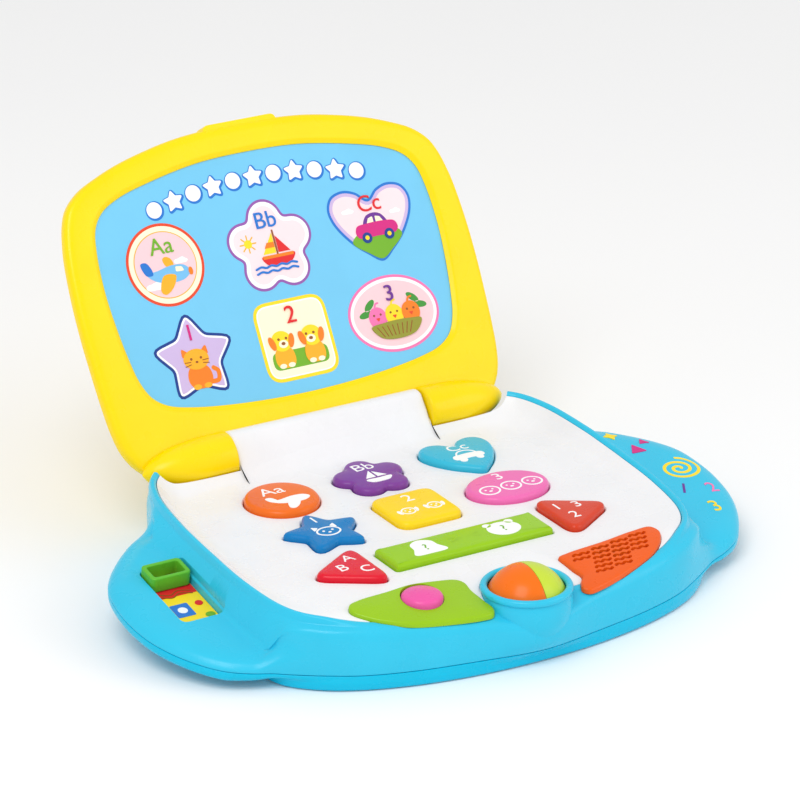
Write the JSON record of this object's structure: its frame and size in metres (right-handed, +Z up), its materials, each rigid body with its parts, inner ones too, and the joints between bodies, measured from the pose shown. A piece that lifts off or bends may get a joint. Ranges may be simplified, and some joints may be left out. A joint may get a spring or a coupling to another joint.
{
  "type": "toy laptop computer",
  "caption": "Small child's toy laptop: wedge base with two raised wing handles, dished panel with shaped push buttons, spinning ball, wing slider, speaker cover and a folding picture lid.",
  "frame": {"origin": "centre of the flat underside of the base, on the table", "axes": "+Z up; +X to the right of the child that faces the keys, along the width; -Y towards the child, +Y towards the hinge"},
  "size_m": [0.342, 0.3173, 0.1882],
  "materials": {
    "blue_dark": "injection moulded, satin gloss",
    "blue": "injection moulded, glossy",
    "white": "injection moulded, glossy",
    "yellow": "injection moulded, glossy",
    "orange": "injection moulded, glossy",
    "purple": "injection moulded, glossy",
    "teal": "injection moulded, glossy",
    "deep_blue": "injection moulded, glossy",
    "sun": "injection moulded, glossy",
    "pink": "injection moulded, glossy",
    "red": "injection moulded, glossy",
    "lime": "injection moulded, glossy",
    "green": "injection moulded, glossy",
    "card": "printed card behind a clear lacquer",
    "board": "glass-fibre laminate",
    "rubber": "silicone rubber",
    "black": "moulded, matt",
    "cell": null,
    "steel": "plated steel"
  },
  "bodies": {
    "base": {"lower_shell": "blue_dark", "upper_shell": "blue", "keyboard_panel": "white", "front_pad": "lime", "speaker_grille": "orange", "slider_card": "card", "main_board": "board", "contact_mat": "rubber", "speaker_driver": "black", "battery_door": "blue_dark", "battery_1": "cell", "battery_2": "cell", "battery_3": "cell", "battery_spring_strip": "steel", "battery_plate_strip": "steel", "case_screw_1": "steel", "case_screw_2": "steel", "case_screw_3": "steel", "case_screw_4": "steel", "case_screw_5": "steel", "case_screw_6": "steel", "door_screw": "steel", "hinge_pin_left": "steel", "hinge_pin_right": "steel"},
    "lid": {"lid_frame": "yellow", "lid_back_cover": "yellow", "screen_card": "card", "lid_screw_1": "steel", "lid_screw_2": "steel", "lid_screw_3": "steel", "lid_screw_4": "steel", "lid_screw_5": "steel", "lid_screw_6": "steel"},
    "ball": {"ball_half_orange": "orange", "ball_half_lime": "lime", "ball_axle": "steel"},
    "slider": {"slider_ring": "green"},
    "switch": {"power_switch": "black"},
    "key_circle": {"button_circle": "orange"},
    "key_flower": {"button_flower": "purple"},
    "key_heart": {"button_heart": "teal"},
    "key_star": {"button_star": "deep_blue"},
    "key_square": {"button_square": "sun"},
    "key_oval": {"button_oval": "pink"},
    "key_triangle_left": {"button_triangle_left": "red"},
    "key_triangle_right": {"button_triangle_right": "red"},
    "key_bar": {"button_bar": "lime"},
    "key_pink": {"button_pink": "pink"}
  },
  "joints": [
    {"name": "lid_hinge", "type": "hinge", "parent": "base", "child": "lid", "pos_m": [0, 0.093, 0.048], "axis": [1, 0, 0], "range_deg": [0, 124]},
    {"name": "ball_spin", "type": "hinge", "parent": "base", "child": "ball", "pos_m": [0, -0.1045, 0.026], "axis": [1, 0, 0], "continuous": true},
    {"name": "slider_slide", "type": "slide", "parent": "base", "child": "slider", "axis": [0, 0.9867, 0.1628], "range_m": [-0.0325, 0]},
    {"name": "switch_slide", "type": "slide", "parent": "base", "child": "switch", "axis": [1, 0, 0], "range_m": [0, 0.0055]},
    {"name": "button_circle_press", "type": "slide", "parent": "base", "child": "key_circle", "axis": [0, 0, -1], "range_m": [0, 0.002], "stiffness_N_per_m": 1000, "springref_m": -0.0004},
    {"name": "button_flower_press", "type": "slide", "parent": "base", "child": "key_flower", "axis": [0, 0, -1], "range_m": [0, 0.002], "stiffness_N_per_m": 1000, "springref_m": -0.0004},
    {"name": "button_heart_press", "type": "slide", "parent": "base", "child": "key_heart", "axis": [0, 0, -1], "range_m": [0, 0.002], "stiffness_N_per_m": 1000, "springref_m": -0.0004},
    {"name": "button_star_press", "type": "slide", "parent": "base", "child": "key_star", "axis": [0, 0, -1], "range_m": [0, 0.002], "stiffness_N_per_m": 1000, "springref_m": -0.0004},
    {"name": "button_square_press", "type": "slide", "parent": "base", "child": "key_square", "axis": [0, 0, -1], "range_m": [0, 0.002], "stiffness_N_per_m": 1000, "springref_m": -0.0004},
    {"name": "button_oval_press", "type": "slide", "parent": "base", "child": "key_oval", "axis": [0, 0, -1], "range_m": [0, 0.002], "stiffness_N_per_m": 1000, "springref_m": -0.0004},
    {"name": "button_triangle_left_press", "type": "slide", "parent": "base", "child": "key_triangle_left", "axis": [0, 0, -1], "range_m": [0, 0.002], "stiffness_N_per_m": 1000, "springref_m": -0.0004},
    {"name": "button_triangle_right_press", "type": "slide", "parent": "base", "child": "key_triangle_right", "axis": [0, 0, -1], "range_m": [0, 0.002], "stiffness_N_per_m": 1000, "springref_m": -0.0004},
    {"name": "button_bar_press", "type": "slide", "parent": "base", "child": "key_bar", "axis": [0, 0, -1], "range_m": [0, 0.002], "stiffness_N_per_m": 1000, "springref_m": -0.0004},
    {"name": "button_pink_press", "type": "slide", "parent": "base", "child": "key_pink", "axis": [0, 0, -1], "range_m": [0, 0.002], "stiffness_N_per_m": 1000, "springref_m": -0.0004}
  ]
}
